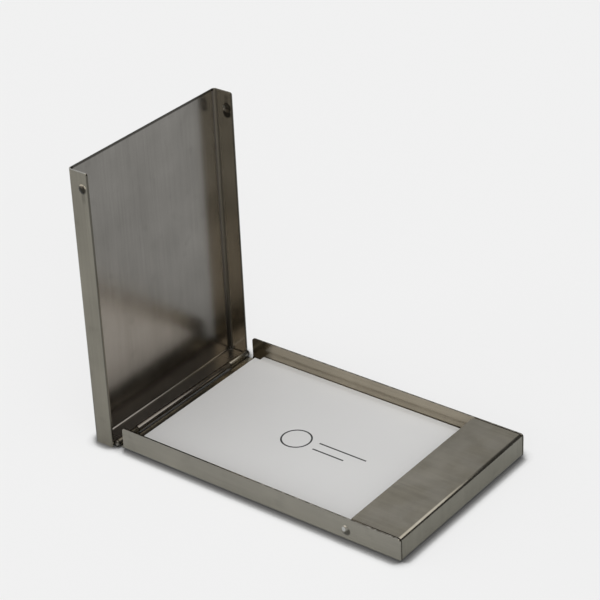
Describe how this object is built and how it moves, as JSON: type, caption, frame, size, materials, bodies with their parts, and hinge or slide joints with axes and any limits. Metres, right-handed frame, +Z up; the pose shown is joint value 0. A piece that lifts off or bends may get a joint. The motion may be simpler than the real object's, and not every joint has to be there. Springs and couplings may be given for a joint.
{
  "type": "business card case",
  "caption": "Slim folded steel card case with a hinged snap-shut lid, a pocket lip and a small stack of cards.",
  "frame": {"origin": "middle of the tray's flat underside", "axes": "+X from the hinge towards the pocket lip, +Z up, +Y along the hinge pin"},
  "size_m": [0.101, 0.0602, 0.083],
  "materials": {
    "steel": "fine straight brushed grain, satin",
    "pin_steel": "drawn wire, smooth",
    "card_stock": "uncoated matte card stock with a thin printed device"
  },
  "bodies": {
    "tray": {"base_tray": "steel", "hinge_pin": "pin_steel"},
    "lid": {"lid_shell": "steel"},
    "cards": {"card_1": "card_stock", "card_2": "card_stock", "card_3": "card_stock", "card_4": "card_stock", "card_5": "card_stock"}
  },
  "joints": [
    {"name": "lid_hinge", "type": "hinge", "parent": "tray", "child": "lid", "pos_m": [-0.04835, 0, 0.00099], "axis": [0, 1, 0], "range_deg": [0, 90]},
    {"name": "card_slide", "type": "slide", "parent": "tray", "child": "cards", "axis": [-1, 0, 0], "range_m": [0, 0.0035]}
  ]
}
